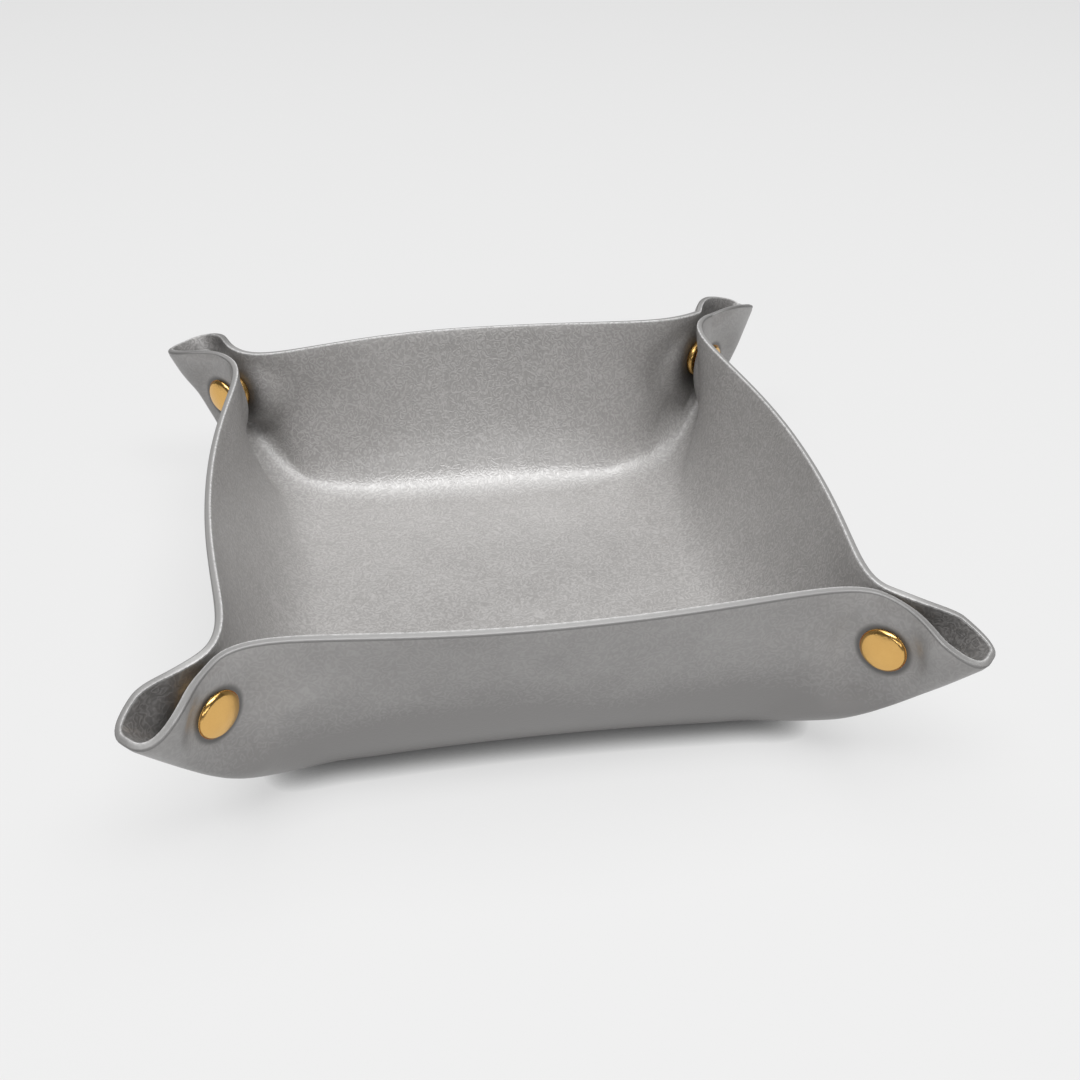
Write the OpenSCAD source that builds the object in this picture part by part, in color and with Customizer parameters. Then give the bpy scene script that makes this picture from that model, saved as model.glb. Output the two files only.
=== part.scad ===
// Leather storage tray: one square sheet of leather whose four corners are
// pinched into outward ears, each held by a brass ring snap with two caps.
// Millimetres. The origin is the centre of the floor's underside, +Z is up
// and the front wall faces -Y.

/* [Tray] */
// Distance between opposite rims, across the middle of the tray
span = 176; // [160:1:192]
// Height of the rim above the table, at the middle of a wall
wall_h = 57; // [52:0.5:64]
// Thickness of the leather
leather_t = 2.4; // [2:0.1:3]
// How far the rim stands out past the foot of the wall
flare = 7.8; // [5:0.2:12]
// How much further out each hand-folded wall leans: front, right, back, left
wall_out = [0.6, 2.6, -0.3, 0.6]; // [-1:0.1:3]
// How much higher the rim of each wall lies at its middle
wall_lift = [0.3, -3.5, 0.5, -3]; // [-4:0.1:2]
// Turn of the floor against the rims, in degrees
twist = 1.05; // [0:0.05:2]
// Width of the bend between the flat floor and the foot of the wall
bend_w = 21; // [16:0.5:24]
// How far the foot of a wall is drawn in at its middle
foot_draw = 4.6; // [1:0.2:6]
// Radius of the foot line at a corner
foot_r = 11; // [8:0.5:14]
// Radius of the flat floor at a corner
floor_r = 24; // [20:0.5:32]

/* [Ears] */
// Every ear was folded by hand, so each list has its own value for the front
// left, front right, back right and back left corner. Reaches run along the
// diagonal from where the rims of two walls would meet, and lifts are above
// the rim at the middle of a wall.
// Reach of the pinch, where the two layers lie closest
pinch_reach = [-4, -4.1, -2.6, -3.9]; // [-6:0.1:-2]
// Half the distance between the middles of the two layers at the pinch
pinch_half_w = [1.8, 1.5, 2.4, 3]; // [1.4:0.1:3.2]
// Lift of the pinch
pinch_lift = [-1.7, -1.8, 1.5, -2.2]; // [-4:0.1:3]
// Reach of the loop's widest place
loop_reach = [13.6, 14.5, 14.2, 13.8]; // [12:0.1:17]
// Half the width of the open loop
loop_half_w = [7.1, 6.6, 6.5, 9.3]; // [6:0.1:10]
// Lift of the loop's widest place
loop_lift = [-4.7, -5.1, 0.7, -3.7]; // [-6:0.1:3]
// Reach of the tip
tip_reach = [22.4, 24.4, 27.9, 20.8]; // [19:0.1:29]
// Lift of the tip
tip_lift = [-7.6, -8.3, -5.6, -5.5]; // [-12:0.1:-4]
// How far the tip leans sideways off the diagonal
tip_lean = [-0.8, 2.1, 0.9, 0.4]; // [-5:0.1:5]

/* [Snaps] */
// Diameter of a snap's cap
cap_d = 12.5; // [11:0.5:14]
// How far a cap stands out of the leather
cap_h = 2; // [1.6:0.1:2.4]
// Radius of a cap's rounded shoulder
cap_shoulder_r = 1.4; // [1:0.1:1.5]
// Reach of each snap's centre along the diagonal
snap_reach = [-1.2, -1.2, -2.6, -2.9]; // [-4:0.1:0]
// Depth of each snap's centre below the rim of a wall
snap_drop = [14.8, 16.5, 16.7, 18.1]; // [14:0.1:20]
// Outer diameter of the socket
socket_d = 13.4; // [11.4:0.1:14]
// Radius of the socket's rounded edge
socket_edge_r = 1.3; // [0.6:0.1:1.4]
// Height of the socket
socket_h = 3; // [2.8:0.1:3.4]
// Thickness of the socket's base and of its lip
socket_wall = 0.5; // [0.4:0.05:0.6]
// Diameter of the stud's flange
flange_d = 10.4; // [9.6:0.2:11.2]
// Thickness of the stud's flange
flange_t = 1; // [0.8:0.1:1.2]
// Diameter of the stud's neck
neck_d = 3.9; // [3.7:0.1:4.1]
// Diameter of the stud's head
head_d = 4.7; // [4.5:0.1:4.9]
// Wire diameter of the ring spring
wire_d = 0.8; // [0.7:0.05:0.9]
// Diameter of the hollow posts that hold the halves to the leather
post_d = 2.4; // [2.2:0.1:2.6]
// Wall of a hollow post
post_wall = 0.35; // [0.3:0.05:0.4]

/* [Hidden] */
CORNERS = ["front_left", "front_right", "back_right", "back_left"];
PIECES = ["socket_cap", "socket", "spring_ring", "stud", "stud_cap"];

leather_colour = "#8e8c8a";
brass_colour = "#c79d4c";

// Clearances: round a post in the leather, between the two halves of a snap
// and beside the ring spring in its chamber
post_clear = 0.2;
snap_clear = 0.8;
spring_clear = 0.05;

// Place of the pieces along the axis of a snap
gap = socket_h + snap_clear + flange_t;
flare_t = 0.35;
flare_d = post_d + 1.6;
chamber_d = 7.6;
lip_d = head_d + 0.3;
head_clear = 0.15;
head_bevel = 0.2;
cap_edge_r = 0.25;
flange_edge_r = 0.4;
chamber_h = socket_h - 2 * socket_wall;
spring_d = neck_d + wire_d + 2 * spring_clear;
spring_up = socket_h - socket_wall - wire_d / 2 - spring_clear;
neck_top = gap - spring_up + wire_d / 2 + spring_clear;
head_top = gap - socket_wall - flare_t - head_clear;
ring_opening = 24;
round_fn = 72;
wire_fn = 24;

// The middle of the leather: the panel is shaped there and then thickened
half_t = leather_t / 2;
wall_reach = span / 2;
foot_reach = wall_reach - flare;
floor_reach = foot_reach - bend_w;
floor_draw = 0.3 * foot_draw;
corner_a = wall_reach * sqrt(2);
snap_b = gap / 2 + half_t;

// Handles of the rim's curve on the wall, before and after the pinch, and
// before the loop's widest place, with the slopes of the rim at both
wall_run = [13.4, 11.9, 27.8, 15.1];
pinch_run = [5.1, 9.5, 1.8, 6.5];
pinch_slope = [-0.18, -0.06, -0.15, 0.1];
loop_run = [4.3, 2.7, 10.9, 6.2];
loop_slope = [-0.58, -0.42, -0.31, -0.23];
// Other pulls of that curve, as shares of the stretch they bend
wall_pull = 0.6;
lean_share = 0.7;
tip_pull = 1.1;
tip_round = 0.25;
// How fast the foot line runs under the rim at a wall's middle and at a tip
wall_spread = 1.2;
ear_spread = 0.55;
// How straight a wall stands above its foot, from 0 for a tight bend
bend_ease = 0.415;

// Belly of a wall beside its snap: how far it stands out, its distance back
// along the diagonal and down from the snap, and its half width and height
belly = 4;
belly_back = 11.3;
belly_drop = 4.6;
belly_w = 12;
belly_h = 16;
belly_free = 6;
// Flat seat in the leather under a cap. It fades out over seat_fade, and
// leather that stands off further is drawn in over draw_fade, which reaches
// further below the snap by 1 / draw_share. The rim stays free of both.
seat_margin = 1.5;
seat_fade = 5.5;
draw_fade = 11.5;
draw_share = 0.6;
rim_free = 8;
seat_r = cap_d / 2 + seat_margin;

// Shares of half a corner's rim, closer at the ear, and rows up to the rim
ROUND = [0, 0.1, 0.2, 0.3, 0.4, 0.48, 0.55, 0.61, 0.655, 0.685, 0.71, 0.735, 0.76, 0.785, 0.81, 0.835, 0.86, 0.885,
    0.91, 0.935, 0.96, 0.98, 1];
ROWS = [0, 0.13, 0.26, 0.38, 0.48, 0.57, 0.65, 0.71, 0.77, 0.83, 0.88, 0.94, 1];
END = len(ROUND) - 1;
TOP = len(ROWS) - 1;
CURVE_STEPS = 40;

function smooth(t) = let (s = min(1, max(0, t))) s * s * (3 - 2 * s);
function bezier(p, t) = let (s = 1 - t)
    s * s * s * p[0] + 3 * s * s * t * p[1] + 3 * s * t * t * p[2] + t * t * t * p[3];

// Places in the corner's own frame: [outward along the diagonal, away from
// the diagonal, up]. Half a corner runs from the middle of a wall to the tip.
function from_xy(x, y, z) = [(x - y) / sqrt(2), -(x + y) / sqrt(2), z];

// The rim's three curves in half a corner: the wall, the ear to its widest
// place, and the tip. side is 1 for the first wall of the corner, else -1.
function rim_curves(c, side) =
    let (
        lean = side * tip_lean[c],
        wall = side == 1 ? (c + 3) % 4 : c,
        middle = from_xy(0, -wall_reach - wall_out[wall], wall_h + wall_lift[wall]),
        pinch = [corner_a + pinch_reach[c], pinch_half_w[c], wall_h + pinch_lift[c]],
        loop = [corner_a + loop_reach[c], loop_half_w[c] + lean_share * lean, wall_h + loop_lift[c]],
        tip = [corner_a + tip_reach[c], lean, wall_h + tip_lift[c]],
        tip_len = tip_reach[c] - loop_reach[c],
        at_pinch = [1, 0, pinch_slope[c]],
        at_loop = [1, (1 - lean_share) * lean / tip_len, loop_slope[c]]
    )
    [[middle, middle + from_xy(1, 0, 0) * wall_pull * wall_reach, pinch - at_pinch * wall_run[c], pinch],
        [pinch, pinch + at_pinch * pinch_run[c], loop - at_loop * loop_run[c], loop],
        [loop, loop + at_loop * tip_pull * tip_len, tip + [0, tip_round * loop_half_w[c], 0], tip]];

// The same rim at the shares ROUND of its length
function sums(list, i = 0, total = 0) = i == len(list) ? [total] : concat([total], sums(list, i + 1, total + list[i]));
function rim(c, side) =
    let (
        curves = rim_curves(c, side),
        line = [for (k = [0 : 2]) for (i = [(k == 0 ? 0 : 1) : CURVE_STEPS]) bezier(curves[k], i / CURVE_STEPS)],
        length = sums([for (i = [1 : len(line) - 1]) norm(line[i] - line[i - 1])]),
        total = length[len(length) - 1],
        tables = [for (axis = [0 : 2]) [for (i = [0 : len(line) - 1]) [length[i], line[i][axis]]]]
    )
    [for (t = ROUND) [for (axis = [0 : 2]) lookup(t * total, tables[axis])]];

// Half a side of a square with rounded corners and drawn-in sides, on the
// level of the floor, at the share f of its length from the middle. The
// square is turned by the twist, so the two halves of a corner differ.
function turned(p, w) = [p[0] * cos(w) - p[1] * sin(w), p[0] * sin(w) + p[1] * cos(w), p[2]];
function square_line(reach, r, draw, f, side) =
    let (
        straight = reach - r,
        s = f * (straight + r * PI / 4),
        turn = (s - straight) / r * 180 / PI
    )
    turned(s < straight
        ? from_xy(s, -reach + draw * (1 - pow(s / straight, 2)), half_t)
        : from_xy(straight + r * sin(turn), -straight - r * cos(turn), half_t), side * twist);

// Share of the foot line under the share t of the rim: a cubic through 0 and
// 1 with given slopes at both ends, so that the columns fan out into the ear
function foot_share(t) = wall_spread * (pow(t, 3) - 2 * pow(t, 2) + t)
    + 3 * pow(t, 2) - 2 * pow(t, 3) + ear_spread * (pow(t, 3) - pow(t, 2));

// Corner c turned to its place: the diagonal of corner 0 points front left
function diagonal(c) = 90 * c - 135;
function snap_centre(c) = [corner_a + snap_reach[c], 0, wall_h - snap_drop[c]];
function to_world(c, p) = let (w = diagonal(c))
    [p[0] * cos(w) + p[1] * sin(w), p[0] * sin(w) - p[1] * cos(w), p[2]];

// How far the flat seat of a snap holds at a place, and how far its draw does
function from_snap(c, p) = let (s = snap_centre(c)) [p[0] - s[0], p[2] - s[2]];
function fade(r, width) = smooth((seat_r + width - r) / width);
function seat_share(c, p) = fade(norm(from_snap(c, p)), seat_fade);
function drawn_share(c, p, v) =
    let (way = from_snap(c, p), r = norm([way[0], way[1] < 0 ? draw_share * way[1] : way[1]]))
    1 - (1 - seat_share(c, p)) * (1 - fade(r, draw_fade) * (1 - pow(v, rim_free)));
function bellied(c, p, v) =
    let (
        way = from_snap(c, p),
        off = [(way[0] + belly_back) / belly_w, (way[1] + belly_drop) / belly_h]
    )
    p + belly * exp(-off * off) * (1 - pow(v, belly_free)) * from_xy(0, -1, 0);
function seated(c, p, v) =
    let (apart = p[1] - snap_b, share = apart > 0 ? drawn_share(c, p, v) : seat_share(c, p))
    [p[0], snap_b + apart * (1 - share), p[2]];

// Half a corner: columns from the floor's edge over the foot line to the rim
function half_corner(c, side) =
    let (top = rim(c, side))
    [for (i = [0 : END])
        let (
            f = foot_share(ROUND[i]),
            floor_edge = square_line(floor_reach, floor_r, floor_draw, f, side),
            foot = square_line(foot_reach, foot_r, foot_draw, f, side),
            points = [floor_edge, foot, foot + bend_ease * (top[i] - foot), top[i]]
        )
        [for (v = ROWS) seated(c, bellied(c, bezier(points, v), v), v)]];
HALVES = [for (c = [0 : 3]) [half_corner(c, 1), half_corner(c, -1)]];

// The middle surface: for every corner the columns of its first wall up to
// the tip, then those of its second wall back from the tip
function placed(c, side, p) = to_world(c, [p[0], side * p[1], p[2]]);
MIDDLE = [for (c = [0 : 3]) each concat(
    [for (i = [0 : END]) [for (p = HALVES[c][0][i]) placed(c, 1, p)]],
    [for (i = [END - 1 : -1 : 1]) [for (p = HALVES[c][1][i]) placed(c, -1, p)]])];
SEAT = [for (c = [0 : 3]) each concat(
    [for (i = [0 : END]) [for (p = HALVES[c][0][i]) seat_share(c, p)]],
    [for (i = [END - 1 : -1 : 1]) [for (p = HALVES[c][1][i]) seat_share(c, p)]])];
COLS = len(MIDDLE);

// Outward unit normal of the middle surface, square to the diagonal on a seat
function unit(v) = v / norm(v);
function seat_way(k) =
    let (c = floor(k / (2 * END)), side = k % (2 * END) <= END ? 1 : -1)
    to_world(c, [0, side, 0]);
function normal(k, j) =
    let (
        across = MIDDLE[(k + 1) % COLS][j] - MIDDLE[(k + COLS - 1) % COLS][j],
        up = MIDDLE[k][min(j + 1, TOP)] - MIDDLE[k][max(j - 1, 0)]
    )
    j == 0 ? [0, 0, -1] : SEAT[k][j] > 0.98 ? seat_way(k) : unit(cross(across, up));

// Both faces of the leather, point after point along each column
function skin(side) = [for (k = [0 : COLS - 1]) for (j = [0 : TOP]) MIDDLE[k][j] + side * half_t * normal(k, j)];
LAYER = COLS * (TOP + 1);
function at(layer, k, j) = layer * LAYER + (k % COLS) * (TOP + 1) + j;
function two_triangles(a, b, c, d) = [[a, b, c], [a, c, d]];
WALL_FACES = [for (k = [0 : COLS - 1]) for (j = [0 : TOP - 1]) each concat(
    two_triangles(at(0, k, j), at(0, k, j + 1), at(0, k + 1, j + 1), at(0, k + 1, j)),
    two_triangles(at(1, k, j), at(1, k + 1, j), at(1, k + 1, j + 1), at(1, k, j + 1)))];
RIM_FACES = [for (k = [0 : COLS - 1]) each
    two_triangles(at(0, k, TOP), at(1, k, TOP), at(1, k + 1, TOP), at(0, k + 1, TOP))];
FLOOR_FACES = [[for (k = [0 : COLS - 1]) at(0, k, 0)], [for (k = [COLS - 1 : -1 : 0]) at(1, k, 0)]];

// Side of the layer that carries the socket
SOCKET_SIDE = [1, 1, -1, 1];

// Frame of one leather layer at a snap: z = 0 on its inner face, +Z into the
// gap between the two layers. side is 1 for the first wall of the corner.
module on_layer(c, side) {
    s = snap_centre(c);
    rotate([0, 0, diagonal(c)])
        translate([s[0], -side * gap / 2, s[2]])
            rotate([-side * 90, 0, 0])
                children();
}

module leather_panel() {
    color(leather_colour)
        difference() {
            polyhedron(concat(skin(1), skin(-1)), concat(WALL_FACES, RIM_FACES, FLOOR_FACES), convexity = 8);
            for (c = [0 : 3])
                on_layer(c, 1)
                    translate([0, 0, -2 * leather_t])
                        cylinder(d = post_d + 2 * post_clear, h = gap + 4 * leather_t, $fn = round_fn);
        }
}

// Points of an arc from angle a to angle b
function arc(centre, r, a, b, n = 6) =
    [for (i = [0 : n]) let (w = a + (b - a) * i / n) centre + r * [cos(w), sin(w)]];

// A cap on the outer face of the leather, with its hollow post through the
// leather and what lies on it, flared over at reach above the inner face
module cap(reach) {
    r = cap_d / 2;
    low = -leather_t;
    high = low - cap_h;
    color(brass_colour)
        rotate_extrude($fn = round_fn)
            polygon(concat(
                [[0, high]],
                arc([r - cap_shoulder_r, high + cap_shoulder_r], cap_shoulder_r, -90, 0),
                arc([r - cap_edge_r, low - cap_edge_r], cap_edge_r, 0, 90, 3),
                [[post_d / 2, low], [post_d / 2, reach], [flare_d / 2, reach], [flare_d / 2, reach + flare_t],
                    [post_d / 2 - post_wall, reach + flare_t], [post_d / 2 - post_wall, low], [0, low]]));
}

module socket() {
    r = socket_d / 2;
    lip_low = socket_h - socket_wall;
    color(brass_colour)
        rotate_extrude($fn = round_fn)
            polygon(concat(
                [[post_d / 2, 0]],
                arc([r - socket_edge_r, socket_edge_r], socket_edge_r, -90, 0),
                arc([r - socket_edge_r, socket_h - socket_edge_r], socket_edge_r, 0, 90),
                [[lip_d / 2, socket_h], [lip_d / 2, lip_low], [chamber_d / 2, lip_low],
                    [chamber_d / 2, socket_wall], [post_d / 2, socket_wall]]));
}

// The ring is cut open so that it can spread over the stud's head
module spring_ring() {
    color(brass_colour)
        translate([0, 0, spring_up])
            rotate([0, 0, ring_opening / 2])
                rotate_extrude(angle = 360 - ring_opening, $fn = round_fn)
                    translate([spring_d / 2, 0])
                        circle(d = wire_d, $fn = wire_fn);
}

module stud() {
    head_r = head_d / 2;
    sink = head_top - flare_t;
    color(brass_colour)
        rotate_extrude($fn = round_fn)
            polygon(concat(
                [[post_d / 2, 0], [flange_d / 2 - flange_edge_r, 0]],
                arc([flange_d / 2 - flange_edge_r, flange_t - flange_edge_r], flange_edge_r, -90, 90),
                [[neck_d / 2, flange_t], [neck_d / 2, neck_top], [head_r, neck_top + head_bevel]],
                [[head_r, sink], [post_d / 2, sink]]));
}

// One piece of a snap, each post flared over inside its own half
module corner_piece(c, piece) {
    side = SOCKET_SIDE[c];
    if (piece == "socket_cap") on_layer(c, side) cap(socket_wall);
    if (piece == "socket") on_layer(c, side) socket();
    if (piece == "spring_ring") on_layer(c, side) spring_ring();
    if (piece == "stud") on_layer(c, -side) stud();
    if (piece == "stud_cap") on_layer(c, -side) cap(head_top - flare_t);
}

leather_panel();
for (c = [0 : 3])
    for (p = PIECES)
        corner_piece(c, p);
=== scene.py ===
"""Looks of a leather storage tray: one square sheet folded up at its corners and held by brass snaps.

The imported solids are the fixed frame. The leather sheet is made again here as a fine surface that
follows the same curves, and the caps of the snaps get their domed and rolled shape. Lengths are in
millimetres until a mesh is made, and the origin is the centre of the floor's underside.
"""

import logging
import math
from dataclasses import dataclass
from enum import Enum
from typing import Any

import bpy
import numpy as np
from mathutils import Matrix, Vector


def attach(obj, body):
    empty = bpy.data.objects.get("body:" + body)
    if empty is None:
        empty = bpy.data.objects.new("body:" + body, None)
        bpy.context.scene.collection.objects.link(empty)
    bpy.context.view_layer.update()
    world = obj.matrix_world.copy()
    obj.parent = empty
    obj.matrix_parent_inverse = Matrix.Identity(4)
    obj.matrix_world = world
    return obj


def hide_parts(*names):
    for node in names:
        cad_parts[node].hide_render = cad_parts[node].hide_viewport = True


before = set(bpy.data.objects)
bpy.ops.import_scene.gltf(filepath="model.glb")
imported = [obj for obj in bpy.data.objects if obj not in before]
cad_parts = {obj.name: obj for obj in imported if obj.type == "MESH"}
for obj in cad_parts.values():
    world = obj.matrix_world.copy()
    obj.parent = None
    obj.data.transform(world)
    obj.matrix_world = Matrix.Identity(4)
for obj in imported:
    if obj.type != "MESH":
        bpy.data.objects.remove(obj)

log = logging.getLogger("tray")

MM = 0.001
STROKE_MEAN = 0.375
Settings = dict[str, Any]
Inputs = dict[Any, Any]


class Corner(Enum):
    """The four corners, in the order in which the sheet runs round them."""

    FRONT_LEFT = 0
    FRONT_RIGHT = 1
    BACK_RIGHT = 2
    BACK_LEFT = 3

    @property
    def label(self) -> str:
        """Name of the corner as the solids' names have it."""
        return self.name.lower()

    @property
    def diagonal(self) -> float:
        """Direction of the corner's diagonal, in radians from +X."""
        return math.radians(90 * self.value - 135)


class Layer(Enum):
    """The two layers of an ear, in the order in which the sheet runs round them."""

    FIRST = 1
    SECOND = -1


def smooth(share: np.ndarray) -> np.ndarray:
    """Eased step: 0 below 0, 1 above 1, and 3s^2 - 2s^3 between."""
    held = np.clip(share, 0.0, 1.0)
    return held * held * (3.0 - 2.0 * held)


def bezier(points: tuple[np.ndarray, ...], share: np.ndarray) -> np.ndarray:
    """Cubic curve through the first and last of four points.

    Formula: the sum of the points times (1-t)^3, 3(1-t)^2 t, 3(1-t) t^2 and t^3.

    Args:
        points: Four arrays whose last axis is x, y, z.
        share: Values of t, from 0 to 1, that broadcast with the points' other axes.

    Returns:
        Places on the curve, with x, y, z as the last axis.
    """
    t = np.asarray(share)[..., None]
    s = 1.0 - t
    return s**3 * points[0] + 3 * s * s * t * points[1] + 3 * s * t * t * points[2] + t**3 * points[3]


def unit(vectors: np.ndarray) -> np.ndarray:
    """Each vector divided by its own length."""
    return vectors / np.maximum(np.linalg.norm(vectors, axis=-1, keepdims=True), 1e-12)


def along_diagonal(x: float, y: float, z: float) -> np.ndarray:
    """A place given in x, y, z of the front left corner, as outward, away from the diagonal, up."""
    return np.array([(x - y) / math.sqrt(2), -(x + y) / math.sqrt(2), z])


class Surface:
    """A grid of points that becomes a mesh in metres."""

    def __init__(self, name: str, points: np.ndarray) -> None:
        """Keeps a grid whose first axis runs round and closes, and whose ends are poles.

        Args:
            name: Name of the object.
            points: Columns by rows by x, y, z, in millimetres. The first and last rows are poles.
        """
        self.name = name
        self.points = points

    def mesh(self, values: dict[str, np.ndarray] | None = None) -> bpy.types.Object:
        """Joins the grid's neighbours with four-sided faces, and each pole with triangles.

        Args:
            values: Attribute name to one number per grid point.

        Returns:
            The linked object, smooth shaded, with its place in its mesh.
        """
        columns, rows = self.points.shape[:2]
        body = self.points[:, 1:-1].reshape(-1, 3)
        ends = self.points[:1, [0, -1]].reshape(2, 3)
        vertices = np.concatenate([body, ends]) * MM
        inner = rows - 2
        column = np.arange(columns)[:, None]
        row = np.arange(inner - 1)[None, :]
        here = column * inner + row
        beside = (column + 1) % columns * inner + row
        quads = np.stack([here, beside, beside + 1, here + 1], -1).reshape(-1, 4)
        first = np.arange(columns) * inner
        following = (np.arange(columns) + 1) % columns * inner
        low_pole = np.full(columns, columns * inner)
        low = np.stack([low_pole, following, first], -1)
        high = np.stack([low_pole + 1, first + inner - 1, following + inner - 1], -1)
        mesh = bpy.data.meshes.new(self.name)
        mesh.from_pydata(vertices.tolist(), [], quads.tolist() + low.tolist() + high.tolist())
        for label, grid in (values or {}).items():
            numbers = np.concatenate([grid[:, 1:-1].reshape(-1), grid[0, [0, -1]]])
            layer = mesh.attributes.new(label, "FLOAT", "POINT")
            layer.data.foreach_set("value", numbers.astype(np.float32))
        mesh.polygons.foreach_set("use_smooth", np.ones(len(mesh.polygons), bool))
        mesh.update()
        made = bpy.data.objects.new(self.name, mesh)
        bpy.context.scene.collection.objects.link(made)
        return made


@dataclass(frozen=True)
class Fold:
    """How one corner was folded by hand, in millimetres.

    Distances "out" run along the diagonal from the place where the rims of two walls would meet, and
    lifts are above the rim at the middle of a wall. The rim runs from the wall through the pinch, the
    widest place of the loop and the tip. A run is the length of the curve's handle there, and the pull
    at the tip is that length as a share of the way from the loop. Leather below the snap is drawn in as
    if it lay nearer, at the draw's share of its depth.
    """

    pinch_out: float
    pinch_half_w: float
    pinch_lift: float
    pinch_slope: float
    wall_run: float
    pinch_run: float
    loop_out: float
    loop_half_w: float
    loop_lift: float
    loop_slope: float
    loop_run: float
    tip_out: float
    tip_lift: float
    lean: float
    snap_out: float
    snap_drop: float
    tip_pull: float = 1.1
    draw_share: float = 0.6
    socket_first: bool = True


FOLDS = {
    Corner.FRONT_LEFT: Fold(
        pinch_out=-4.0, pinch_half_w=1.8, pinch_lift=-1.7, pinch_slope=-0.18, wall_run=13.4, pinch_run=5.1,
        loop_out=13.6, loop_half_w=6.7, loop_lift=-4.7, loop_slope=-0.58, loop_run=4.3,
        tip_out=22.0, tip_lift=-8.0, lean=-1.2, tip_pull=1.0, snap_out=-1.2, snap_drop=14.8),
    Corner.FRONT_RIGHT: Fold(
        pinch_out=-4.1, pinch_half_w=1.5, pinch_lift=-1.8, pinch_slope=-0.06, wall_run=11.9, pinch_run=9.5,
        loop_out=14.5, loop_half_w=6.6, loop_lift=-5.1, loop_slope=-0.42, loop_run=2.7,
        tip_out=24.4, tip_lift=-8.3, lean=2.1, snap_out=-1.2, snap_drop=16.5),
    Corner.BACK_RIGHT: Fold(
        pinch_out=-2.6, pinch_half_w=2.4, pinch_lift=1.5, pinch_slope=-0.15, wall_run=27.8, pinch_run=1.8,
        loop_out=14.2, loop_half_w=6.5, loop_lift=0.7, loop_slope=-0.31, loop_run=10.9,
        tip_out=27.9, tip_lift=-5.6, lean=0.9, snap_out=-2.6, snap_drop=16.7, socket_first=False),
    Corner.BACK_LEFT: Fold(
        pinch_out=-3.9, pinch_half_w=3.0, pinch_lift=-2.2, pinch_slope=0.1, wall_run=15.1, pinch_run=6.5,
        loop_out=13.8, loop_half_w=9.3, loop_lift=-3.7, loop_slope=-0.23, loop_run=6.2,
        tip_out=20.8, tip_lift=-5.5, lean=0.4, snap_out=-2.9, snap_drop=18.1, draw_share=1.0),
}


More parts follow.
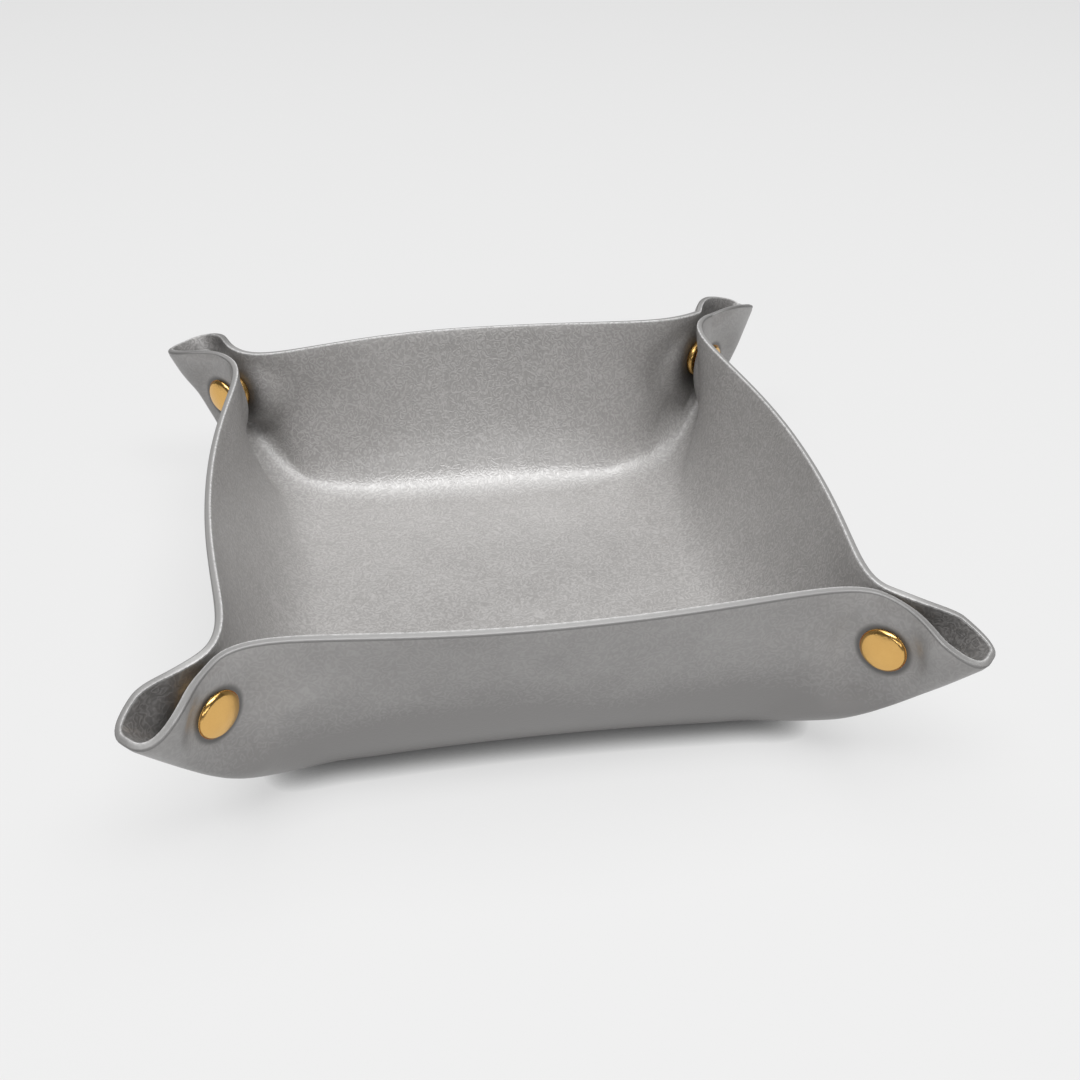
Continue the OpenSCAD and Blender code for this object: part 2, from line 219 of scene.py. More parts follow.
@dataclass(frozen=True)
class LeatherSheet:
    """The square sheet of leather in its folded shape, with the sizes of the solid."""

    span: float = 176.0
    wall_h: float = 57.0
    leather_t: float = 2.4
    flare: float = 7.8
    wall_out: tuple[float, ...] = (0.6, 2.6, -0.3, 0.6)
    wall_lift: tuple[float, ...] = (0.3, -3.5, 0.5, -3.0)
    twist: float = 1.05
    bend_w: float = 21.0
    foot_draw: float = 4.6
    floor_draw_share: float = 0.3
    foot_r: float = 11.0
    floor_r: float = 24.0
    cap_d: float = 12.5
    snap_gap: float = 4.8
    wall_pull: float = 0.6
    lean_share: float = 0.7
    tip_round: float = 0.25
    wall_spread: float = 1.2
    ear_spread: float = 0.55
    bend_ease: float = 0.415
    belly: float = 4.0
    belly_back: float = 11.3
    belly_drop: float = 4.6
    belly_w: float = 12.0
    belly_h: float = 16.0
    belly_free: float = 6.0
    seat_margin: float = 0.5
    seat_fade: float = 8.0
    seat_flat: float = 0.9
    draw_fade: float = 11.5
    rim_free: float = 8.0
    loop_fade: float = 9.0
    rim_t: float = 2.0
    outer_edge_r: float = 0.65
    inner_edge_r: float = 0.25
    edge_steps: int = 5
    curve_steps: int = 80
    half_steps: int = 110
    rise_steps: int = 60
    floor_rings: int = 12

    @property
    def half_t(self) -> float:
        """Half the thickness of the leather."""
        return self.leather_t / 2

    @property
    def corner_a(self) -> float:
        """Distance along a diagonal at which the rims of two walls would meet."""
        return self.span / 2 * math.sqrt(2)

    @property
    def snap_b(self) -> float:
        """Distance of a layer's middle from the diagonal where a snap holds it."""
        return self.snap_gap / 2 + self.half_t

    def snap_centre(self, corner: Corner) -> np.ndarray:
        """Centre of a snap, as outward along the diagonal and up."""
        fold = FOLDS[corner]
        return np.array([self.corner_a + fold.snap_out, self.wall_h - fold.snap_drop])

    def rim(self, corner: Corner, layer: Layer) -> np.ndarray:
        """Rim of half a corner, in three cubic curves: the wall, the ear to its widest place, the tip.

        Args:
            corner: Which corner.
            layer: Which of its two layers, since an ear leans to one side.

        Returns:
            Places in the corner's own axes at even steps of length, from the wall's middle to the tip.
        """
        fold = FOLDS[corner]
        reach = self.span / 2
        wall = corner.value if layer is Layer.SECOND else corner.value - 1
        lean = fold.lean * layer.value
        middle = along_diagonal(0, -reach - self.wall_out[wall], self.wall_h + self.wall_lift[wall])
        pinch = np.array([self.corner_a + fold.pinch_out, fold.pinch_half_w, self.wall_h + fold.pinch_lift])
        loop = np.array([self.corner_a + fold.loop_out, fold.loop_half_w + self.lean_share * lean,
                         self.wall_h + fold.loop_lift])
        tip = np.array([self.corner_a + fold.tip_out, lean, self.wall_h + fold.tip_lift])
        tip_len = fold.tip_out - fold.loop_out
        at_pinch = np.array([1.0, 0.0, fold.pinch_slope])
        at_loop = np.array([1.0, (1 - self.lean_share) * lean / tip_len, fold.loop_slope])
        side = (middle, middle + along_diagonal(1, 0, 0) * self.wall_pull * reach,
                pinch - at_pinch * fold.wall_run, pinch)
        ear = (pinch, pinch + at_pinch * fold.pinch_run, loop - at_loop * fold.loop_run, loop)
        end = (loop, loop + at_loop * fold.tip_pull * tip_len,
               tip + np.array([0.0, self.tip_round * fold.loop_half_w, 0.0]), tip)
        t = np.linspace(0, 1, self.curve_steps + 1)
        line = np.concatenate([bezier(side, t), bezier(ear, t)[1:], bezier(end, t)[1:]])
        length = np.concatenate([[0.0], np.cumsum(np.linalg.norm(np.diff(line, axis=0), axis=1))])
        even = np.linspace(0, length[-1], self.half_steps + 1)
        return np.stack([np.interp(even, length, line[:, axis]) for axis in range(3)], -1)

    def square_line(self, reach: float, r: float, draw: float, f: np.ndarray, layer: Layer) -> np.ndarray:
        """Half a side of a square with rounded corners, drawn in by a parabola along its straight part.

        The whole square is turned by the twist about the centre of the floor.

        Args:
            reach: Distance of the side from the centre.
            r: Radius of the corner.
            draw: How far the side is drawn in at its middle.
            f: Share of the half side's length, from its middle to the diagonal.
            layer: Which side of the diagonal it lies on.

        Returns:
            Places in the corner's own axes, on the level of the sheet's middle.
        """
        straight = reach - r
        s = f * (straight + r * math.pi / 4)
        turn = np.maximum(s - straight, 0) / r
        on_side = s < straight
        x = np.where(on_side, s, straight + r * np.sin(turn))
        y = np.where(on_side, -reach + draw * (1 - (s / straight) ** 2), -straight - r * np.cos(turn))
        a, b = (x - y) / math.sqrt(2), -(x + y) / math.sqrt(2)
        w = math.radians(self.twist) * layer.value
        return np.stack([a * math.cos(w) - b * math.sin(w), a * math.sin(w) + b * math.cos(w),
                         np.full_like(x, self.half_t)], -1)

    def corner_half(self, corner: Corner, layer: Layer) -> tuple[np.ndarray, np.ndarray, np.ndarray]:
        """Middle surface of half a corner, from the floor's edge over the foot to the rim.

        Each column is a cubic curve whose two inner points lie on the foot line and between foot and
        rim. The foot's share f of its length follows the rim's share t by a cubic with f(0) = 0,
        f(1) = 1 and given slopes at both ends, so that the columns fan out evenly into the ear. Round
        its snap the leather is pressed flat, and leather that stands off further is drawn in, longer
        below the snap than above. Before that a wall gets a belly beside its snap, a bell curve of
        the distance along and up the wall.

        Args:
            corner: Which corner.
            layer: Which of its two layers.

        Returns:
            Columns by rows by place in the corner's own axes, the share of the flat seat there, and how
            far the place lies in the ear's loop, from 0 to 1.
        """
        t = np.linspace(0, 1, self.half_steps + 1)
        v = np.linspace(0, 1, self.rise_steps + 1)
        f = (self.wall_spread * (t**3 - 2 * t**2 + t) + (3 * t**2 - 2 * t**3)
             + self.ear_spread * (t**3 - t**2))
        foot_reach = self.span / 2 - self.flare
        floor_draw = self.floor_draw_share * self.foot_draw
        edge = self.square_line(foot_reach - self.bend_w, self.floor_r, floor_draw, f, layer)
        foot = self.square_line(foot_reach, self.foot_r, self.foot_draw, f, layer)
        top = self.rim(corner, layer)
        points = tuple(p[:, None, :] for p in (edge, foot, foot + self.bend_ease * (top - foot), top))
        places = bezier(points, v[None, :])
        centre = self.snap_centre(corner)
        beside = (places[..., 0] - centre[0] + self.belly_back) / self.belly_w
        above = (places[..., 2] - centre[1] + self.belly_drop) / self.belly_h
        belly = self.belly * np.exp(-beside**2 - above**2) * (1 - v**self.belly_free)
        places = places + belly[..., None] * along_diagonal(0, -1, 0)
        beside, above = places[..., 0] - centre[0], places[..., 2] - centre[1]
        away = np.hypot(beside, above)
        longer = np.hypot(beside, np.where(above < 0, FOLDS[corner].draw_share * above, above))
        seat_r = self.cap_d / 2 + self.seat_margin
        seat = smooth((seat_r + self.seat_fade - away) / self.seat_fade)
        drawn = smooth((seat_r + self.draw_fade - longer) / self.draw_fade) * (1 - v**self.rim_free)
        drawn = 1 - (1 - seat) * (1 - drawn)
        apart = places[..., 1] - self.snap_b
        places[..., 1] = self.snap_b + np.where(apart > 0, apart * (1 - drawn), apart * (1 - seat))
        return places, seat, smooth((places[..., 0] - centre[0]) / self.loop_fade)

    def turned(self, corner: Corner, layer: Layer, places: np.ndarray) -> np.ndarray:
        """Turns places from one corner's own axes to where that corner lies.

        Args:
            corner: Which corner.
            layer: Which side of its diagonal the places lie on.
            places: Places as outward, away from the diagonal, up.

        Returns:
            Places as x, y, z.
        """
        w = corner.diagonal
        a, b, z = places[..., 0], layer.value * places[..., 1], places[..., 2]
        return np.stack([a * math.cos(w) + b * math.sin(w), a * math.sin(w) - b * math.cos(w), z], -1)

    def middle(self) -> tuple[np.ndarray, np.ndarray, np.ndarray]:
        """Middle surface of the whole sheet.

        Returns:
            Columns round the tray by rows from the floor's centre to the rim, the normals there, and how
            far each place lies in an ear's loop.
        """
        columns, seats, loops, ways = [], [], [], []
        for corner in Corner:
            for layer, chosen in ((Layer.FIRST, slice(None)), (Layer.SECOND, slice(-2, 0, -1))):
                half, seat, loop = self.corner_half(corner, layer)
                columns.append(self.turned(corner, layer, half[chosen]))
                seats.append(seat[chosen])
                loops.append(loop[chosen])
                way = self.turned(corner, layer, np.array([0.0, 1.0, 0.0]))
                ways.append(np.broadcast_to(way, half[chosen].shape))
        walls, seat, way = np.concatenate(columns), np.concatenate(seats), np.concatenate(ways)
        across = np.roll(walls, -1, 0) - np.roll(walls, 1, 0)
        normal = unit(np.cross(across, np.gradient(walls, axis=1)))
        normal[:, 0] = (0.0, 0.0, -1.0)
        flat = smooth((seat - self.seat_flat) / (1 - self.seat_flat))[..., None]
        normal = unit(normal * (1 - flat) + way * flat)
        centre = np.array([0.0, 0.0, self.half_t])
        inward = np.linspace(0, 1, self.floor_rings + 1)[:-1]
        rings = centre + (walls[:, :1] - centre) * inward[None, :, None]
        down = np.broadcast_to(np.array([0.0, 0.0, -1.0]), rings.shape)
        loop = np.concatenate([np.zeros(rings.shape[:2]), np.concatenate(loops)], 1)
        return np.concatenate([rings, walls], 1), np.concatenate([down, normal], 1), loop

    def closed(self) -> tuple[np.ndarray, dict[str, np.ndarray]]:
        """The sheet with its thickness: underside, rounded cut edge and top side in one closed grid.

        The cut edge is a quarter circle at the outer corner, a flat, and a smaller quarter circle at
        the inner corner, drawn across the thickness at the end of each column. The leather is pressed a
        little thinner there.

        Returns:
            Columns by rows by place, and the attributes of each point.
        """
        middle, normal, loop = self.middle()
        upward = unit(middle[:, -1] - middle[:, -2])
        upward = unit(upward - normal[:, -1] * (upward * normal[:, -1]).sum(-1, keepdims=True))
        outer_r, inner_r = self.outer_edge_r, self.inner_edge_r
        turn = np.linspace(0, math.pi / 2, self.edge_steps + 1)
        sideways = np.concatenate([self.rim_t / 2 - outer_r * (1 - np.cos(turn)),
                                   -self.rim_t / 2 + inner_r * (1 - np.sin(turn))])
        height = np.concatenate([-outer_r * (1 - np.sin(turn)), -inner_r * (1 - np.cos(turn))])
        edge = (middle[:, -1:] + normal[:, -1:] * sideways[None, :, None]
                + upward[:, None] * height[None, :, None])
        outer = middle[:, :-1] + normal[:, :-1] * self.half_t
        inner = (middle[:, :-1] - normal[:, :-1] * self.half_t)[:, ::-1]
        grid = np.concatenate([outer, edge, inner], 1)
        rows = [outer.shape[1], edge.shape[1], inner.shape[1]]
        cut = np.repeat([0.0, 1.0, 0.0], rows)
        inside = np.repeat([0.0, 0.5, 1.0], rows)
        inside[rows[0]:rows[0] + rows[1]] = np.linspace(0, 1, rows[1])
        ones = np.ones((grid.shape[0], 1))
        loop = np.concatenate([loop[:, :-1], loop[:, -1:] * np.ones(rows[1]), loop[:, -2::-1]], 1)
        return grid, {"cut_edge": ones * cut, "inside": ones * inside, "in_loop": loop}

    def build(self) -> bpy.types.Object:
        """Makes the sheet's mesh."""
        grid, values = self.closed()
        return Surface("leather_sheet", grid).mesh(values)


class Value:
    """One number of a shader, so that its maths reads as plain expressions."""

    def __init__(self, recipe: "Recipe", socket: bpy.types.NodeSocket) -> None:
        """Keeps the recipe that the number belongs to and the socket that gives it."""
        self.recipe = recipe
        self.socket = socket

    def join(self, operation: str, *others: Any) -> "Value":
        """Adds one Math node on this number and others.

        Args:
            operation: The Math node's operation.
            others: Numbers or further values.

        Returns:
            The value that comes out.
        """
        node = self.recipe.add("ShaderNodeMath", {"operation": operation}, dict(enumerate((self, *others))))
        return Value(self.recipe, node.outputs[0])

    def __add__(self, other: Any) -> "Value":
        """Sum."""
        return self.join("ADD", other)

    __radd__ = __add__

    def __mul__(self, other: Any) -> "Value":
        """Product."""
        return self.join("MULTIPLY", other)

    __rmul__ = __mul__

    def __sub__(self, other: Any) -> "Value":
        """Difference."""
        return self.join("SUBTRACT", other)

    def __rsub__(self, other: Any) -> "Value":
        """Difference the other way round, so that 1 - mask works."""
        return self * -1.0 + other

    def __pow__(self, other: Any) -> "Value":
        """Power."""
        return self.join("POWER", other)

    def between(self, low: float, high: float) -> "Value":
        """Smooth share of the way from one number to another, held between 0 and 1.

        Args:
            low: Number that gives 0.
            high: Number that gives 1.

        Returns:
            The share.
        """
        node = self.recipe.add(
            "ShaderNodeMapRange",
            {"interpolation_type": "SMOOTHSTEP"},
            {"Value": self, "From Min": low, "From Max": high},
        )
        return Value(self.recipe, node.outputs["Result"])


class Recipe:
    """The node tree of one material."""

    def __init__(self, name: str) -> None:
        """Starts an empty material.

        Args:
            name: Name of the material.
        """
        self.material = bpy.data.materials.new(name)
        self.material.use_nodes = True
        self.tree = self.material.node_tree
        self.tree.nodes.clear()
        self.place = self.add("ShaderNodeTexCoord").outputs["Object"]

    def add(self, kind: str, settings: Settings | None = None,
            inputs: Inputs | None = None) -> bpy.types.Node:
        """Adds one node.

        Args:
            kind: The node's type.
            settings: Its own properties, set before its sockets.
            inputs: Socket name or number to a number, a colour, a socket or a Value.

        Returns:
            The node.
        """
        node = self.tree.nodes.new(kind)
        for key, setting in (settings or {}).items():
            setattr(node, key, setting)
        for key, source in (inputs or {}).items():
            if isinstance(source, Value):
                source = source.socket
            if isinstance(source, bpy.types.NodeSocket):
                self.tree.links.new(source, node.inputs[key])
            else:
                node.inputs[key].default_value = source
        return node

    def noise(self, size: float, detail: float = 2.0, distortion: float = 0.0) -> Value:
        """Noise whose lumps are about size millimetres across.

        Args:
            size: Width of a lump, in millimetres.
            detail: Number of finer layers.
            distortion: How much the lumps are bent.

        Returns:
            The noise, from 0 to 1.
        """
        node = self.add("ShaderNodeTexNoise", None, {
            "Vector": self.place, "Scale": 1 / (size * MM), "Detail": detail, "Distortion": distortion})
        return Value(self, node.outputs["Fac"])

    def strokes(self, size: float, rings: float, distortion: float) -> Value:
        """Short curved strokes, thin and light on a darker ground: a sine of a noise, squared.

        Args:
            size: Width of the noise's lumps, in millimetres.
            rings: Number of strokes over the noise's range from 0 to 1.
            distortion: How much the lumps are bent.

        Returns:
            The pattern, from 0 to 1, whose mean is STROKE_MEAN.
        """
        wave = (self.noise(size, 1.0, distortion) * (2 * math.pi * rings)).join("SINE")
        return (wave * 0.5 + 0.5) ** 2

    def height(self) -> Value:
        """Height above the table, in metres."""
        node = self.add("ShaderNodeSeparateXYZ", None, {"Vector": self.place})
        return Value(self, node.outputs["Z"])

    def off_axes(self, axes: list[tuple[float, np.ndarray]]) -> Value:
        """Distance from the nearest of several level lines.

        Args:
            axes: For each line, the direction in radians that is level and square to it, and its place
                along that direction and upwards, in millimetres.

        Returns:
            The distance, in metres.
        """
        nearest = None
        for direction, (out, up) in axes:
            way = (math.cos(direction), math.sin(direction), 0.0)
            node = self.add("ShaderNodeVectorMath", {"operation": "DOT_PRODUCT"}, {0: self.place, 1: way})
            along = Value(self, node.outputs["Value"]) - float(out) * MM
            above = self.height() - float(up) * MM
            distance = (along * along + above * above) ** 0.5
            nearest = distance if nearest is None else nearest.join("MINIMUM", distance)
        return nearest

    def open_share(self, distance: float) -> Value:
        """Share of directions in which nothing stands within a distance, in millimetres."""
        node = self.add("ShaderNodeAmbientOcclusion", {"samples": 6}, {"Distance": distance * MM})
        return Value(self, node.outputs["AO"])

    def attribute(self, name: str) -> Value:
        """A number that the mesh carries at each point."""
        node = self.add("ShaderNodeAttribute", {"attribute_name": name})
        return Value(self, node.outputs["Fac"])

    def mix(self, share: Value, low: Any, high: Any) -> bpy.types.NodeSocket:
        """A colour between two others.

        Args:
            share: Share of the way from the first colour to the second.
            low: The first colour, or a socket that gives it.
            high: The second colour, or a socket that gives it.

        Returns:
            The socket that gives the mixed colour.
        """
        node = self.add("ShaderNodeMix", {"data_type": "RGBA"}, {"Factor": share, 6: low, 7: high})
        return node.outputs[2]

    def bumped(self, heights: list[tuple[Value, float]]) -> bpy.types.NodeSocket | None:
        """Chains Bump nodes.

        Args:
            heights: Height pattern and the height in millimetres that its range of 1 stands for.

        Returns:
            The normal that comes out.
        """
        normal = None
        for height, depth in heights:
            inputs = {"Height": height, "Distance": depth * MM, "Strength": 1.0}
            if normal is not None:
                inputs["Normal"] = normal
            normal = self.add("ShaderNodeBump", None, inputs).outputs["Normal"]
        return normal

    def finish(self, inputs: Inputs) -> bpy.types.Material:
        """Ends the tree with the surface shader.

        Args:
            inputs: Socket name to a number, a colour, a socket or a Value.

        Returns:
            The material.
        """
        shader = self.add("ShaderNodeBsdfPrincipled", None, inputs)
        self.add("ShaderNodeOutputMaterial", None, {"Surface": shader.outputs["BSDF"]})
        return self.material


@dataclass(frozen=True)
class LeatherFinish:
    """Warm grey leather: short curved strokes, a little mottled, with paler cut edges.

    The strokes are the rings of equal value in a noise, thin and light. They are strong on the inner side
    and faint on the outer side, whose tone is deeper, with painted shade darker still towards the foot.
    Painted shade also darkens the inner side in the loops of the ears and round the snaps, a painted
    shadow rings each cap outside, and the cut edge has painted shade and a painted highlight. Tones run
    from 0, the deep colour, to 1, the worn one, and sizes and bump depths are in millimetres.
    """

    deep: tuple[float, ...] = (0.232, 0.223, 0.217, 1.0)
    worn: tuple[float, ...] = (0.452, 0.441, 0.433, 1.0)
    outer_deep: tuple[float, ...] = (0.16, 0.153, 0.149, 1.0)
    outer_worn: tuple[float, ...] = (0.36, 0.35, 0.343, 1.0)
    # The cut edge's dark outer corner is painted shade and its pale line a painted highlight.
    edge_shade: tuple[float, ...] = (0.13, 0.126, 0.123, 1.0)
    edge_grey: tuple[float, ...] = (0.25, 0.246, 0.242, 1.0)
    edge_highlight: tuple[float, ...] = (0.80, 0.795, 0.79, 1.0)
    # Painted shade in the loops of the ears, on the inner side.
    loop_shade_deep: tuple[float, ...] = (0.105, 0.101, 0.098, 1.0)
    loop_shade_light: tuple[float, ...] = (0.215, 0.207, 0.202, 1.0)
    # Colour of painted shade: the shadow ring round each cap outside and the shade in the pinch inside.
    painted_shade: tuple[float, ...] = (0.030, 0.027, 0.025, 1.0)
    grain: float = 2.7
    rings: float = 5.0
    stroke_bend: float = 0.2
    thread_size: float = 1.5
    thread_rings: float = 1.6
    thread_share: float = 0.3
    mottle: float = 14.0
    mottle_bend: float = 0.4
    cloud: float = 48.0
    fibre: float = 0.9
    fibre_bend: float = 0.5
    patch_tone: float = 0.3
    base_tone: float = 0.2
    inner_grain: float = 0.55
    outer_grain: float = 0.25
    outer_contrast: float = 1.6
    outer_shift: float = 0.38
    # Painted shade: the outer side grows darker from foot_to down to foot_from millimetres above the table.
    foot_from: float = 2.0
    foot_to: float = 42.0
    foot_shade: float = 1.05
    cap_r: float = 6.25
    ring_from: float = 0.5
    ring_to: float = 2.1
    pinch_to: float = 15.0
    # Share of painted shade close to each snap's axis, on the inner side.
    pinch_shade: float = 0.75
    loop_shade_share: float = 0.85
    cut_span: tuple[float, float] = (0.75, 1.0)
    bevel_span: tuple[float, float] = (0.05, 0.5)
    # Painted shade on the cut edge in the ears' loops, for the grey and for the pale line.
    bevel_loop_shade: float = 0.45
    line_span: tuple[float, float] = (0.49, 0.6)
    line_breaks: float = 2.2
    line_shift: float = 0.25
    line_loop_shade: float = 0.5
    outer_relief: float = 0.3
    mottle_depth: float = 0.06
    stroke_depth: float = 0.036
    thread_depth: float = 0.016
    fibre_depth: float = 0.05
    dimple_depth: float = 0.35
    dimple_from: float = 0.9
    dimple_w: float = 3.0
    base_rough: float = 0.34
    stroke_shine: float = 0.04
    mottle_rough: float = 0.06
    cut_rough: float = 0.08
    corner_rough: float = 0.13
    corner_to: float = 62.0
    ior: float = 1.6
    specular: float = 1.0

    def inner_side(self, recipe: Recipe, tone: Value, maze: Value, off_axis: Value) -> bpy.types.NodeSocket:
        """Colour of the inner side, with painted shade in the loops of the ears and round the snaps.

        Args:
            recipe: The material's recipe.
            tone: The mottled tone.
            maze: The pattern of strokes.
            off_axis: Distance from the nearest snap's axis, in metres.

        Returns:
            The colour that comes out.
        """
        in_loop = recipe.attribute("in_loop")
        plain = recipe.mix(tone + (maze - STROKE_MEAN) * self.inner_grain, self.deep, self.worn)
        # Painted shade: the inner side is darker in the ears' loops.
        loop_shaded = recipe.mix(maze + (0.5 - STROKE_MEAN), self.loop_shade_deep, self.loop_shade_light)
        # Painted shade: darker close to each snap's axis, in the pinch of each ear.
        pinch = 1 - off_axis.between(self.cap_r * MM, self.pinch_to * MM)
        return recipe.mix(pinch * self.pinch_shade, recipe.mix(in_loop * self.loop_shade_share, plain, loop_shaded),
                          self.painted_shade)

    def outer_side(self, recipe: Recipe, tone: Value, maze: Value, off_axis: Value) -> bpy.types.NodeSocket:
        """Colour of the outer side, with painted shade towards the foot and a painted shadow ring round each
        cap.

        Args:
            recipe: The material's recipe.
            tone: The mottled tone.
            maze: The pattern of strokes.
            off_axis: Distance from the nearest snap's axis, in metres.

        Returns:
            The colour that comes out.
        """
        # Painted shade: the outer side darkens towards the foot.
        low = 1 - recipe.height().between(self.foot_from * MM, self.foot_to * MM)
        share = (tone * self.outer_contrast - self.outer_shift + (maze - STROKE_MEAN) * self.outer_grain
                 - low * self.foot_shade)
        # Painted shadow: a dark ring round each cap on the outer side.
        ring_to = (self.cap_r + self.ring_to) * MM
        ring = 1 - off_axis.between((self.cap_r + self.ring_from) * MM, ring_to)
        outside = 1 - recipe.attribute("inside")
        return recipe.mix(ring * outside, recipe.mix(share, self.outer_deep, self.outer_worn), self.painted_shade)

    def rim(self, recipe: Recipe, fibre: Value) -> bpy.types.NodeSocket:
        """Colour across the cut edge: painted shade at the outer corner, a grey middle, a broken painted
        highlight.

        Args:
            recipe: The material's recipe.
            fibre: The fine noise of the cut fibres.

        Returns:
            The colour that comes out.
        """
        inside = recipe.attribute("inside")
        in_loop = recipe.attribute("in_loop")
        # Painted shade: the edge darkens towards its outer corner and in the loops.
        grey = inside.between(*self.bevel_span) - in_loop * self.bevel_loop_shade
        broken = fibre * self.line_breaks - self.line_shift
        # Painted highlight: a broken pale line near the inner corner, fainter in the loops.
        line = inside.between(*self.line_span) * broken * (1 - in_loop * self.line_loop_shade)
        return recipe.mix(line, recipe.mix(grey, self.edge_shade, self.edge_grey), self.edge_highlight)

    def build(self, sheet: LeatherSheet) -> bpy.types.Material:
        """Makes the material.

        Args:
            sheet: The sheet, for the places of its snaps.

        Returns:
            The material.
        """
        recipe = Recipe("grey_leather")
        cut = recipe.attribute("cut_edge").between(*self.cut_span)
        inside = recipe.attribute("inside")
        strokes = recipe.strokes(self.grain, self.rings, self.stroke_bend)
        threads = recipe.strokes(self.grain * self.thread_size, self.rings * self.thread_rings, 0.0)
        maze = strokes * (1 - self.thread_share) + threads * self.thread_share
        mottle = recipe.noise(self.mottle, 3.0, self.mottle_bend)
        fibre = recipe.noise(self.fibre, 3.0, self.fibre_bend)
        tone = (mottle + recipe.noise(self.cloud)) * self.patch_tone + self.base_tone
        off_axis = recipe.off_axes([(corner.diagonal, sheet.snap_centre(corner)) for corner in Corner])
        inner = self.inner_side(recipe, tone, maze, off_axis)
        outer = self.outer_side(recipe, tone, maze, off_axis)
        colour = recipe.mix(cut, recipe.mix(inside, outer, inner), self.rim(recipe, fibre))
        relief = (1 - cut) * (inside * (1 - self.outer_relief) + self.outer_relief)
        beside = off_axis.between(self.cap_r * self.dimple_from * MM, (self.cap_r + self.dimple_w) * MM)
        normal = recipe.bumped([
            (mottle, self.mottle_depth),
            (strokes * relief, self.stroke_depth),
            (threads * relief, self.thread_depth),
            (fibre * cut, self.fibre_depth),
            (beside * (1 - inside), self.dimple_depth),
        ])
        in_corner = 1 - off_axis.between(self.pinch_to * MM, self.corner_to * MM)
        roughness = (self.base_rough - maze * relief * self.stroke_shine + mottle * self.mottle_rough
                     + cut * self.cut_rough + in_corner * inside * self.corner_rough)
        return recipe.finish({
            "Base Color": colour, "Roughness": roughness, "Normal": normal, "IOR": self.ior,
            "Specular IOR Level": self.specular,
        })


@dataclass(frozen=True)
class BrassFinish:
    """Warm brass with a fine dull grain on its faces. Sizes and depths are in millimetres."""

    name: str
    brass: tuple[float, ...] = (0.80, 0.50, 0.17, 1.0)
    dull: tuple[float, ...] = (0.68, 0.40, 0.13, 1.0)
    grain: float = 0.35
    cloud: float = 3.0
    grain_depth: float = 0.014
    cloud_depth: float = 0.09
    roughness: float = 0.2
    rough_span: float = 0.12

    def build(self) -> bpy.types.Material:
        """Makes the material.

        Returns:
            The material.
        """
        recipe = Recipe(self.name)
        grain = recipe.noise(self.grain, 3.0)
        cloud = recipe.noise(self.cloud)
        roughness = grain * self.rough_span + (self.roughness - self.rough_span / 2)
        return recipe.finish({
            "Base Color": recipe.mix((grain + cloud) * 0.5, self.brass, self.dull),
            "Metallic": 1.0, "Roughness": roughness,
            "Normal": recipe.bumped([(grain, self.grain_depth), (cloud, self.cloud_depth)]),
        })


@dataclass(frozen=True)
class TableFinish:
    """Plain pale tabletop that glows as painted light, so that only the shadow close to the leather is deep.

    The glow fades where something stands or hangs close to the table, a painted shadow: its share is the
    product of the open shares within two distances, in millimetres, each raised to a power.
    """

    pale: tuple[float, ...] = (0.17, 0.17, 0.17, 1.0)
    dark: tuple[float, ...] = (0.0, 0.0, 0.0, 1.0)
    light: tuple[float, ...] = (1.0, 1.0, 1.0, 1.0)
    glow: float = 0.636
    near: float = 6.5
    near_power: float = 1.1
    wide: float = 15.0
    wide_power: float = 0.12

    def build(self) -> bpy.types.Material:
        """Makes the material.

        Returns:
            The material.
        """
        recipe = Recipe("pale_table")
        # Painted shadow: the table's glow fades where leather stands or hangs close to it.
        near = recipe.open_share(self.near) ** self.near_power
        openness = near * recipe.open_share(self.wide) ** self.wide_power
        return recipe.finish({
            "Base Color": self.pale, "Roughness": 0.9, "Specular IOR Level": 0.0,
            "Emission Color": recipe.mix(openness, self.dark, self.light), "Emission Strength": self.glow,
        })


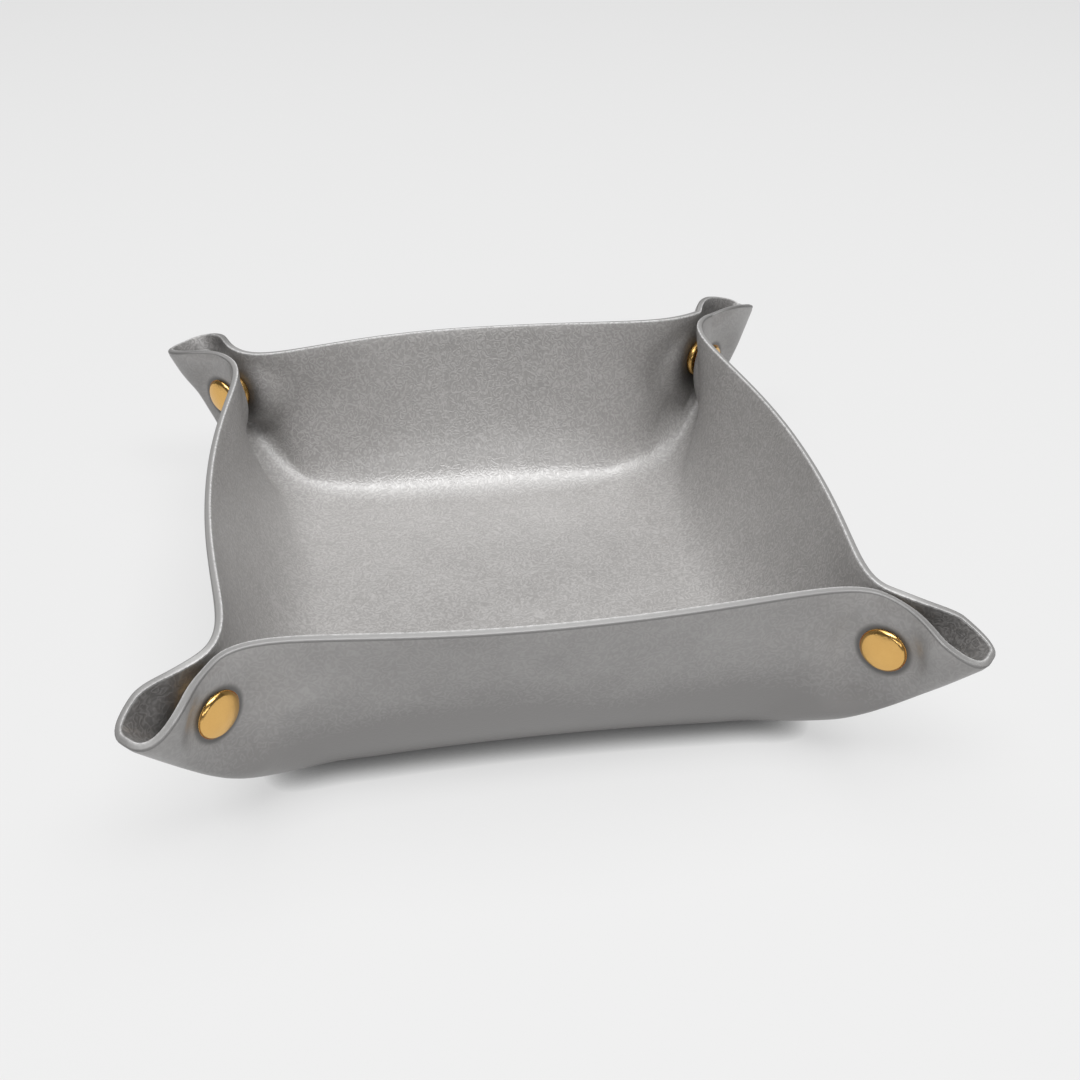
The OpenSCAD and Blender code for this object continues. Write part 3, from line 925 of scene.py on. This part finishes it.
@dataclass(frozen=True)
class Snap:
    """One brass snap: the caps are made anew, and the halves between the layers keep their solids."""

    corner: Corner
    sheet: LeatherSheet
    cap_h: float = 2.0
    dome: float = 0.8
    shoulder_r: float = 1.45
    curl_r: float = 0.3
    columns: int = 96
    back_steps: int = 3
    curl_steps: int = 5
    shoulder_steps: int = 13
    face_steps: int = 15

    def profile(self) -> np.ndarray:
        """Half outline of a cap from its back to the middle of its face.

        A flat back, a small curl at the edge, a straight rise, a round shoulder, and a face that rises
        by the dome as 1 - r^2. The shoulder ends where its slope is that of the face.

        Returns:
            Points by radius and height.
        """
        r = self.sheet.cap_d / 2
        curl = np.linspace(-math.pi / 2, 0, self.curl_steps + 1)
        end = math.pi / 2 - math.atan(2 * self.dome / (r - self.shoulder_r))
        shoulder = np.linspace(0, end, self.shoulder_steps + 1)
        face = r - self.shoulder_r + self.shoulder_r * math.cos(end)
        dome = face / 2 / math.tan(end)
        top = self.cap_h - dome - self.shoulder_r * math.sin(end)
        inner = np.linspace(1, 0, self.face_steps + 1)[1:]
        radius = np.concatenate([
            np.linspace(0, r - self.curl_r, self.back_steps + 1)[:-1],
            r - self.curl_r + self.curl_r * np.cos(curl),
            r - self.shoulder_r + self.shoulder_r * np.cos(shoulder), face * inner])
        height = np.concatenate([
            np.zeros(self.back_steps), self.curl_r + self.curl_r * np.sin(curl),
            top + self.shoulder_r * np.sin(shoulder), self.cap_h - dome * inner**2])
        return np.stack([radius, height], -1)

    def cap(self, layer: Layer) -> bpy.types.Object:
        """Makes a cap on the outer face of one layer: its profile turned round the snap's axis.

        Args:
            layer: Which layer it sits on.

        Returns:
            The cap's object.
        """
        profile = self.profile()
        turn = np.linspace(0, 2 * math.pi, self.columns, endpoint=False)[:, None] * -layer.value
        centre = self.sheet.snap_centre(self.corner)
        away = self.sheet.snap_gap / 2 + self.sheet.leather_t + profile[None, :, 1]
        a = centre[0] + profile[None, :, 0] * np.cos(turn)
        z = centre[1] + profile[None, :, 0] * np.sin(turn)
        places = self.sheet.turned(self.corner, layer, np.stack([a, np.broadcast_to(away, a.shape), z], -1))
        return Surface(f"{self.corner.label}_{layer.name.lower()}_cap_brass", places).mesh()

    def build(self, cap_brass: bpy.types.Material, inner_brass: bpy.types.Material) -> None:
        """Makes and dresses the snap's pieces.

        Args:
            cap_brass: Material of the caps.
            inner_brass: Material of the pieces between the layers.
        """
        for layer in Layer:
            with_socket = (layer is Layer.FIRST) == FOLDS[self.corner].socket_first
            made = self.cap(layer)
            made.data.materials.append(cap_brass)
            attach(made, "root")
            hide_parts(f"{self.corner.label}_{'socket' if with_socket else 'stud'}_cap")
        for piece in ("socket", "spring_ring", "stud"):
            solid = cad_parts[f"{self.corner.label}_{piece}"]
            solid.data.materials.clear()
            solid.data.materials.append(inner_brass)


@dataclass(frozen=True)
class Lamp:
    """One rectangular lamp: its place and its two sides in metres, and its power in watts."""

    name: str
    place: tuple[float, float, float]
    sides: tuple[float, float]
    power: float

    def build(self, aim: tuple[float, float, float]) -> None:
        """Makes the lamp and turns it towards a place.

        Args:
            aim: The place, in metres.
        """
        data = bpy.data.lights.new(self.name, "AREA")
        data.shape = "RECTANGLE"
        data.size, data.size_y = self.sides
        data.energy = self.power
        made = bpy.data.objects.new(self.name, data)
        made.location = self.place
        made.rotation_euler = (Vector(aim) - Vector(self.place)).to_track_quat("-Z", "Y").to_euler()
        bpy.context.scene.collection.objects.link(made)


@dataclass(frozen=True)
class Studio:
    """Pale tabletop, soft lamps, and the camera at the photograph's place.

    The camera's target and distance are in millimetres and its angles in radians.
    """

    target: tuple[float, float, float] = (13.2, 17.2, 10.8)
    distance: float = 411.3
    azimuth: float = -0.186
    elevation: float = 0.589
    roll: float = 0.018
    focal_px: float = 1227.8
    picture_px: int = 1080
    sensor_mm: float = 36.0
    sky: float = 0.125
    table_half: float = 6.0
    aim: tuple[float, float, float] = (0.0, 0.0, 0.03)
    lamps: tuple[Lamp, ...] = (
        Lamp("overhead", (0.0, 0.0, 1.9), (2.2, 2.2), 32.0),
        Lamp("front_strip", (0.0, -0.5, 1.4), (1.8, 0.5), 15.0),
        Lamp("low_strip", (0.0, -1.38, 0.6), (1.6, 0.15), 3.5),
    )

    def camera(self) -> None:
        """Places the camera by its target, distance, direction and roll."""
        az, el = self.azimuth, self.elevation
        back = Vector((math.sin(az) * math.cos(el), -math.cos(az) * math.cos(el), math.sin(el)))
        right = (-back).cross(Vector((0, 0, 1))).normalized()
        up = right.cross(-back)
        side = right * math.cos(self.roll) + up * math.sin(self.roll)
        top = up * math.cos(self.roll) - right * math.sin(self.roll)
        data = bpy.data.cameras.new("camera")
        data.sensor_width = self.sensor_mm
        data.lens = self.focal_px / self.picture_px * self.sensor_mm
        data.clip_start, data.clip_end = 0.01, 20.0
        made = bpy.data.objects.new("camera", data)
        place = (Vector(self.target) + back * self.distance) * MM
        made.matrix_world = Matrix.Translation(place) @ Matrix((side, top, back)).transposed().to_4x4()
        bpy.context.scene.collection.objects.link(made)
        bpy.context.scene.camera = made

    def table(self) -> None:
        """Makes the tabletop, level with the tray's underside."""
        far = self.table_half
        mesh = bpy.data.meshes.new("table")
        mesh.from_pydata([(-far, -far, 0), (far, -far, 0), (far, far, 0), (-far, far, 0)], [], [(0, 1, 2, 3)])
        table = bpy.data.objects.new("table", mesh)
        bpy.context.scene.collection.objects.link(table)
        mesh.materials.append(TableFinish().build())

    def surroundings(self) -> None:
        """Makes an even grey sky and keeps the colours plain."""
        world = bpy.data.worlds.new("studio")
        world.use_nodes = True
        world.node_tree.nodes["Background"].inputs["Color"].default_value = (1.0, 1.0, 1.0, 1.0)
        world.node_tree.nodes["Background"].inputs["Strength"].default_value = self.sky
        scene = bpy.context.scene
        scene.world = world
        scene.view_settings.view_transform = "Standard"
        scene.view_settings.look = "None"

    def build(self) -> None:
        """Makes the table, sky, lamps and camera."""
        self.table()
        self.surroundings()
        for lamp in self.lamps:
            lamp.build(self.aim)
        self.camera()


def main() -> None:
    """Builds the tray's looks in order."""
    logging.basicConfig(level=logging.INFO, format="%(name)s: %(message)s")
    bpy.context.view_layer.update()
    Studio().build()
    sheet = LeatherSheet()
    leather = sheet.build()
    leather.data.materials.append(LeatherFinish().build(sheet))
    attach(leather, "root")
    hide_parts("leather_panel")
    log.info("leather sheet: %d faces", len(leather.data.polygons))
    cap_brass = BrassFinish("cap_brass").build()
    inner_brass = BrassFinish("inner_brass", roughness=0.26).build()
    for corner in Corner:
        Snap(corner, sheet).build(cap_brass, inner_brass)
        log.info("snap: %s", corner.label)


if __name__ == "__main__":
    main()
